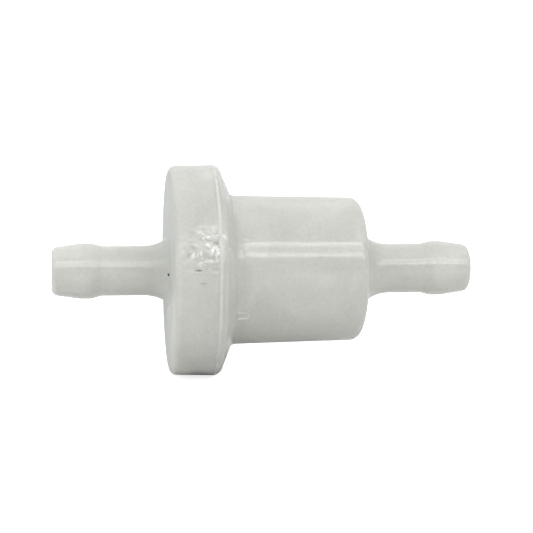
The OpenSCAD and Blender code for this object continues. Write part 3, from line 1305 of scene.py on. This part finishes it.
class BuildStage(bpy.types.Operator):
    """Build the floor, the lights, the surroundings and the camera"""

    bl_idname = "fuelfilter.stage"
    bl_label = "Stage"

    def execute(self, context):
        s = context.scene.filter_stage
        self.lay_floor(s)
        self.set_lights(s)
        self.set_world(s)
        self.set_camera(s)
        context.scene.view_settings.view_transform = "Standard"
        return {"FINISHED"}

    def lay_floor(self, s):
        """A floor just under the filter's rim that curves up into a wall behind it."""
        height = CAD_BOX[0][2] - 0.02 * MM
        curve_start, curve_radius = 0.25, 0.35
        front, wall_top = -0.8, 1.4
        turn = np.radians(np.linspace(0, 90, 25))
        curve = np.column_stack(
            [curve_start + curve_radius * np.sin(turn), height + curve_radius * (1 - np.cos(turn))]
        )
        side = np.vstack([[[front, height]], curve, [[curve_start + curve_radius, wall_top]]])
        rows = [np.column_stack([np.full(len(side), x), side]) for x in (-1.2, 0.0, 1.2)]
        mesh = bpy.data.meshes.new("backdrop")
        faces = grid_faces(3, len(side), wrap_rows=False, wrap_columns=False)
        mesh.from_pydata(np.vstack(rows).tolist(), [], faces.tolist())
        mesh.polygons.foreach_set("use_smooth", np.ones(len(mesh.polygons), bool))
        surface, n, shader, place = new_material("pale_backdrop", 0.9)
        tone = n.noise(place, 14.0, 3.0, 0.6)
        shade = n.mix(
            n.spread(tone, 0.3, 0.7), rgba(s.floor), rgba([c * 0.985 for c in s.floor])
        )
        seen = n.add("ShaderNodeLightPath", {}).outputs["Is Camera Ray"]
        glow = n.mix(seen, (0.0, 0.0, 0.0, 1.0), rgba([s.glow] * 3))
        for socket, value in (
            ("Base Color", shade), ("Emission Color", glow), ("Emission Strength", 1.0)
        ):
            n.put(shader.inputs[socket], value)
        mesh.materials.append(surface)
        backdrop = bpy.data.objects.new("backdrop", mesh)
        bpy.context.scene.collection.objects.link(backdrop)

    def set_lights(self, s):
        """Broad soft lights all round, and a long panel between two tubes in front.

        Only the panel and the tubes show in the glossy skin, as one band with two bright edges.
        """
        centre = (0.0, 0.0, 0.0)
        far, near = 1.2, 0.8
        white, cool = (1.0, 1.0, 1.0), (0.84, 0.93, 1.0)
        for name, azimuth, height, power, tint in (
            ("broad_top", s.azimuth, 85.0, s.top, white),
            ("soft_right", 75.0, 40.0, s.right, white),
            ("soft_back", s.azimuth + 180.0, 35.0, s.back, white),
            ("cool_side", -88.0, 12.0, s.side, cool),
        ):
            place = tuple(direction(azimuth, height) * far)
            broad = area_light(name, place, centre, (1.2, 0.9), power, tint)
            broad.visible_glossy = False
        for name, height, width, power in (
            ("tube_low", 23.0, 0.08, s.tubes),
            ("tube_high", 41.0, 0.08, s.tubes),
            ("panel", 32.0, 0.17, s.panel),
        ):
            place = tuple(direction(s.azimuth, s.elevation + height) * near)
            area_light(name, place, centre, (3.2, width), power, white)

    def set_world(self, s):
        """Even light from all round, seen as plain white behind the filter."""
        world = bpy.data.worlds.new("surroundings")
        world.use_nodes = True
        world.node_tree.nodes.clear()
        n = Nodes(world.node_tree)
        seen = n.add("ShaderNodeLightPath", {}).outputs["Is Camera Ray"]
        strength = n.spread(seen, 0.0, 1.0, s.fill, 1.0)
        back = n.add(
            "ShaderNodeBackground", {"Color": (1.0, 1.0, 1.0, 1.0), "Strength": strength}
        )
        n.add("ShaderNodeOutputWorld", {"Surface": back.outputs["Background"]})
        bpy.context.scene.world = world

    def set_camera(self, s):
        """The camera, aimed a little right of and above the filter's middle."""
        data = bpy.data.cameras.new("camera")
        data.sensor_width = 36.0
        data.lens = data.sensor_width * s.distance / s.view_width
        data.clip_start, data.clip_end = 0.01, 10.0
        camera = bpy.data.objects.new("camera", data)
        back = direction(s.azimuth, s.elevation)
        right, up = level_view(back)
        aim = right * 0.50 * MM + up * 0.37 * MM
        eye = aim + back * s.distance
        camera.rotation_mode = "QUATERNION"
        camera.location = tuple(eye)
        camera.rotation_quaternion = look_at(eye, aim, -s.roll)
        bpy.context.scene.collection.objects.link(camera)
        bpy.context.scene.camera = camera


BUILDERS = (
    BuildStage, BuildInletCap, BuildOutletBody, BuildWeld, BuildStrainer, BuildGauze, BuildSeal,
)


class FilterPanel(bpy.types.Panel):
    """Buttons that build the filter piece by piece"""

    bl_idname = "VIEW3D_PT_fuel_filter"
    bl_label = "Fuel Filter"
    bl_space_type = "VIEW_3D"
    bl_region_type = "UI"
    bl_category = "Fuel Filter"

    def draw(self, context):
        layout = self.layout
        for builder in BUILDERS:
            layout.operator(builder.bl_idname)
        for key, kind in SETTINGS.items():
            box = layout.box()
            box.label(text=kind.__doc__)
            for field in kind.__annotations__:
                box.prop(getattr(context.scene, key), field)


def register():
    for kind in (*SETTINGS.values(), *BUILDERS, FilterPanel):
        bpy.utils.register_class(kind)
    for key, kind in SETTINGS.items():
        setattr(bpy.types.Scene, key, bpy.props.PointerProperty(type=kind))


def unregister():
    for key in SETTINGS:
        delattr(bpy.types.Scene, key)
    for kind in reversed((*SETTINGS.values(), *BUILDERS, FilterPanel)):
        bpy.utils.unregister_class(kind)


def main():
    register()
    bpy.ops.fuelfilter.stage()
    bpy.ops.fuelfilter.inlet_cap()
    bpy.ops.fuelfilter.outlet_body()
    bpy.ops.fuelfilter.weld()
    bpy.ops.fuelfilter.strainer()
    bpy.ops.fuelfilter.gauze()
    bpy.ops.fuelfilter.seal()


if __name__ == "__main__":
    main()
